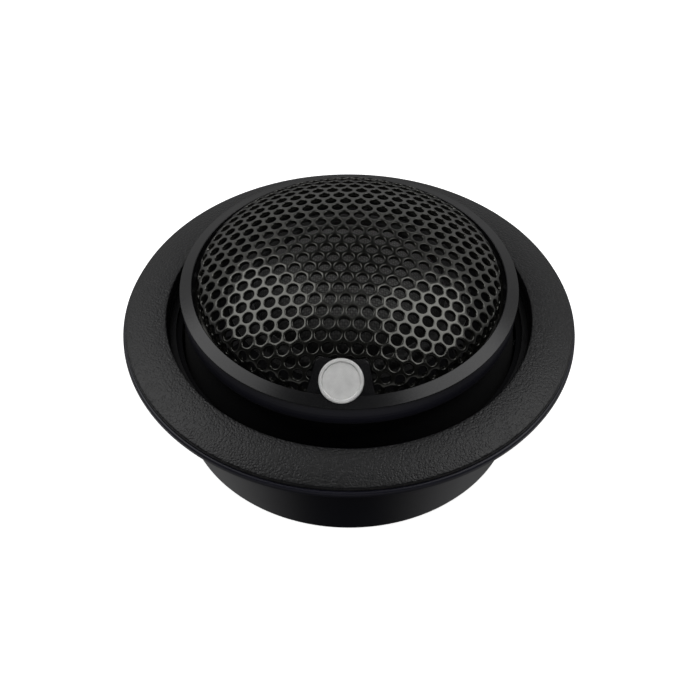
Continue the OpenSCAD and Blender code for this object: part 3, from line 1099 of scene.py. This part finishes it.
class TWEETER_OT_studio(bpy.types.Operator):
    """Makes the floor, the soft lights, the backdrop's light and the camera"""

    bl_idname = "tweeter.studio"
    bl_label = "Studio"

    def execute(self, context):
        studio = context.scene.tweeter.studio
        context.scene.view_settings.view_transform = "Standard"
        self.floor(studio)
        self.backdrop(studio)
        self.softbox("softbox_left", -115, 52, 0.32, studio.softbox)
        self.softbox("softbox_right", 109, 57, 0.32, studio.softbox * 1.1)
        card = self.softbox("fill_card", 0, 58, 0.3, studio.card)
        card.visible_glossy = False
        self.camera(context, studio)
        return {"FINISHED"}

    def floor(self, studio):
        work = bmesh.new()
        half = 3.0
        below = Matrix.Translation((0, 0, cad_low.z - 0.02 * MM))
        bmesh.ops.create_grid(
            work, x_segments=8, y_segments=8, size=half, matrix=below
        )
        mesh = bpy.data.meshes.new("floor")
        work.to_mesh(mesh)
        work.free()
        floor = bpy.data.objects.new("floor", mesh)
        bpy.context.scene.collection.objects.link(floor)
        paper = Finish("floor_paper")
        fibre = paper.noise(0.8 * MM, 3.0)
        white = paper.blend(fibre, (0.78, 0.78, 0.78, 1), (0.82, 0.82, 0.82, 1))
        floor.data.materials.append(paper.surface(
            Base_Color=white, Roughness=0.9, Normal=paper.bump(fibre, 0.02 * MM), Specular_IOR_Level=0.0,
            Emission_Color=WHITE, Emission_Strength=studio.floor_glow,
        ))
        floor.visible_glossy = False
        floor.visible_diffuse = False

    def backdrop(self, studio):
        """White to the eye; lights the object from behind, low in front and low at the sides."""
        world = bpy.data.worlds.new("studio")
        world.use_nodes = True
        bpy.context.scene.world = world
        world.node_tree.nodes.clear()
        made = Nodes(world.node_tree, "Generated")
        east, north, up = made.axes()
        aside = east.function("ABSOLUTE")
        off_band = (up - 0.72).function("ABSOLUTE").clamped(0.12, 0.3)
        gap = (1.0 - off_band) * (1.0 - aside.clamped(0.2, 0.5))
        behind = north.clamped(0.03, 0.3) * up.clamped(-0.35, 0.15) * (1.0 - gap) * studio.behind
        level = 1.0 - (up + 0.28).function("ABSOLUTE").clamped(0.12, 0.42)
        before = (-north).clamped(0.15, 0.75) * level * studio.before
        low = (-up).clamped(0.2, 0.7)
        under = aside.clamped(0.2, 0.6) * north.clamped(-0.55, 0.05) * low * studio.under
        strength = behind + before + under + studio.fill
        soft = made.add("ShaderNodeBackground", None, {"Color": (0.8, 0.8, 0.8, 1), "Strength": strength})
        white = made.add("ShaderNodeBackground", None, {"Color": WHITE})
        seen = made.add("ShaderNodeLightPath", output="Is Camera Ray")
        choice = made.add("ShaderNodeMixShader", None, {0: seen, 1: soft, 2: white})
        made.add("ShaderNodeOutputWorld", None, {"Surface": choice}, output=None)

    def softbox(self, name, azimuth, elevation, size, power):
        lamp = bpy.data.lights.new(name, "AREA")
        lamp.shape = "SQUARE"
        lamp.size = size
        lamp.energy = power
        holder = bpy.data.objects.new(name, lamp)
        direction = directed(azimuth, elevation)
        holder.location = direction * 0.5
        holder.rotation_euler = direction.to_track_quat("Z", "Y").to_euler()
        holder.visible_camera = False
        bpy.context.scene.collection.objects.link(holder)
        return holder

    def camera(self, context, studio):
        lens = bpy.data.cameras.new("camera")
        lens.lens = studio.lens
        lens.sensor_width = 36
        lens.clip_start = 0.01
        lens.clip_end = 20
        camera = bpy.data.objects.new("camera", lens)
        target = Vector((0, 0, 0.55 * MM))
        back = directed(math.degrees(studio.azimuth), math.degrees(studio.elevation))
        camera.matrix_world = (
            Matrix.Translation(target + back * studio.distance)
            @ back.to_track_quat("Z", "Y").to_matrix().to_4x4()
            @ Matrix.Rotation(studio.roll, 4, "Z")
            @ Matrix.Rotation(-studio.aim_below, 4, "X")
            @ Matrix.Rotation(-studio.aim_right, 4, "Y")
        )
        context.scene.collection.objects.link(camera)
        context.scene.camera = camera


class TWEETER_PT_panel(bpy.types.Panel):
    """Lists the pieces of the tweeter"""

    bl_label = "Tweeter"
    bl_idname = "TWEETER_PT_panel"
    bl_space_type = "VIEW_3D"
    bl_region_type = "UI"
    bl_category = "Tweeter"

    def draw(self, context):
        for operator in OPERATORS:
            self.layout.operator(operator.bl_idname)


GROUPS = (
    CupSettings, TrimSettings, BezelSettings, GrilleSettings, DomeSettings, StudioSettings, FinishSettings,
    TweeterSettings,
)
OPERATORS = (
    TWEETER_OT_cup, TWEETER_OT_trim, TWEETER_OT_bezel, TWEETER_OT_emblem, TWEETER_OT_grille,
    TWEETER_OT_dome, TWEETER_OT_grommets, TWEETER_OT_hardware, TWEETER_OT_studio,
)


def register():
    for cls in GROUPS + OPERATORS + (TWEETER_PT_panel,):
        bpy.utils.register_class(cls)
    bpy.types.Scene.tweeter = PointerProperty(type=TweeterSettings)


def unregister():
    del bpy.types.Scene.tweeter
    for cls in reversed(GROUPS + OPERATORS + (TWEETER_PT_panel,)):
        bpy.utils.unregister_class(cls)


def main():
    register()
    bpy.ops.tweeter.cup()
    bpy.ops.tweeter.trim()
    bpy.ops.tweeter.bezel()
    bpy.ops.tweeter.emblem()
    bpy.ops.tweeter.grille()
    bpy.ops.tweeter.dome()
    bpy.ops.tweeter.grommets()
    bpy.ops.tweeter.hardware()
    bpy.ops.tweeter.studio()


if __name__ == "__main__":
    main()
